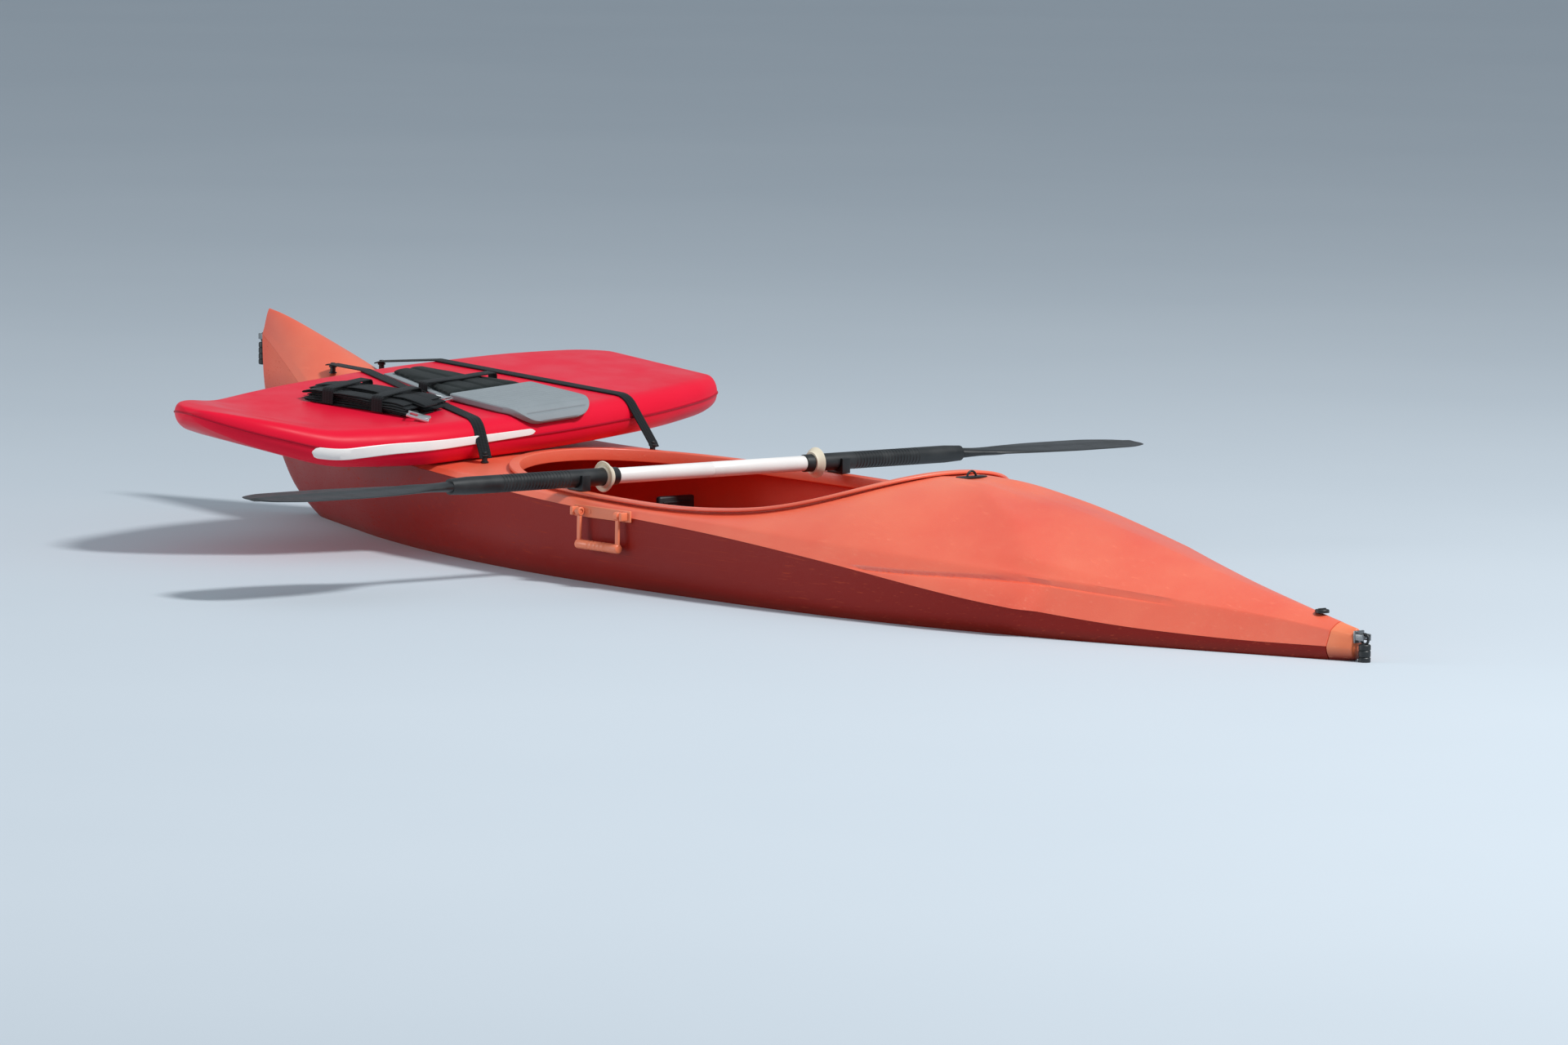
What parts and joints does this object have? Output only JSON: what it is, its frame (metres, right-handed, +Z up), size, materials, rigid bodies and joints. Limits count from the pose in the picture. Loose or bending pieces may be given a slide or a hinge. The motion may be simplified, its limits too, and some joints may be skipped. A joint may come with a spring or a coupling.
{
  "type": "outrigger kayak",
  "caption": "Open-cockpit kayak with an upturned bow, a float lashed crosswise over its foredeck and a double-bladed paddle across the coaming.",
  "frame": {"origin": "on the centreline at the waterline, at half the hull's length", "axes": "+Z up, -Y towards the bow, +X to port"},
  "size_m": [2.2, 3.259, 0.5184],
  "materials": {
    "hull_orange": "satin, slightly scuffed rotomoulded polyethylene",
    "cap_orange": "satin, sun-faded",
    "float_crimson": "glossy skin over foam",
    "white_gloss": "gloss",
    "cream_rubber": "matte",
    "black_plastic": "satin moulded plastic",
    "black_webbing": "woven webbing",
    "dark_cloth": "woven cloth over foam",
    "grey_foam": "ribbed closed-cell foam",
    "black_foam": "closed-cell foam",
    "steel": "brushed stainless"
  },
  "bodies": {
    "hull": {"bow_eye": "steel", "coaming_rim": "hull_orange", "deck_upper": "hull_orange", "drain_plug": "black_plastic", "drip_ring_port": "cream_rubber", "drip_ring_starboard": "cream_rubber", "float_body": "float_crimson", "float_stripe": "white_gloss", "foam_pillar": "black_foam", "foot_peg_port": "black_plastic", "foot_peg_starboard": "black_plastic", "foot_rail_port": "black_plastic", "foot_rail_starboard": "black_plastic", "handle_bracket_port": "hull_orange", "handle_bracket_starboard": "hull_orange", "hull_lower": "hull_orange", "pad_dark": "dark_cloth", "pad_grey": "grey_foam", "paddle_blade_port": "black_plastic", "paddle_blade_starboard": "black_plastic", "paddle_clip_port": "black_plastic", "paddle_clip_starboard": "black_plastic", "paddle_shaft": "white_gloss", "paddle_sleeve_port": "black_plastic", "paddle_sleeve_starboard": "black_plastic", "seat_cushion": "dark_cloth", "seat_pan": "black_plastic", "stern_cap": "cap_orange", "stern_eye": "steel", "strap_buckle": "steel", "strap_bundle": "black_webbing", "strap_cross": "black_webbing", "strap_peg_aft_port": "black_plastic", "strap_peg_aft_starboard": "black_plastic", "strap_peg_fore_port": "black_plastic", "strap_peg_fore_starboard": "black_plastic", "strap_port": "black_webbing", "strap_starboard": "black_webbing"},
    "backrest": {"backrest": "dark_cloth"},
    "stern_toggle": {"stern_toggle": "black_plastic"},
    "bow_toggle": {"bow_toggle": "black_plastic"},
    "handle_port": {"carry_handle_port": "hull_orange"},
    "handle_starboard": {"carry_handle_starboard": "hull_orange"}
  },
  "joints": [
    {"name": "backrest_fold", "type": "hinge", "parent": "hull", "child": "backrest", "pos_m": [0, 0.414, 0.006], "axis": [1, 0, 0], "range_deg": [0, 70]},
    {"name": "stern_toggle_swing", "type": "hinge", "parent": "hull", "child": "stern_toggle", "pos_m": [0, 1.618, 0.044], "axis": [1, 0, 0], "range_deg": [0, 100]},
    {"name": "bow_toggle_swing", "type": "hinge", "parent": "hull", "child": "bow_toggle", "pos_m": [0, -1.618, 0.35], "axis": [-1, 0, 0], "range_deg": [0, 100]},
    {"name": "port_handle_swing", "type": "hinge", "parent": "hull", "child": "handle_port", "pos_m": [0.3834, -0.06, 0.14], "axis": [0, -1, 0], "range_deg": [0, 110]},
    {"name": "starboard_handle_swing", "type": "hinge", "parent": "hull", "child": "handle_starboard", "pos_m": [-0.3834, -0.06, 0.14], "axis": [0, 1, 0], "range_deg": [0, 110]}
  ]
}
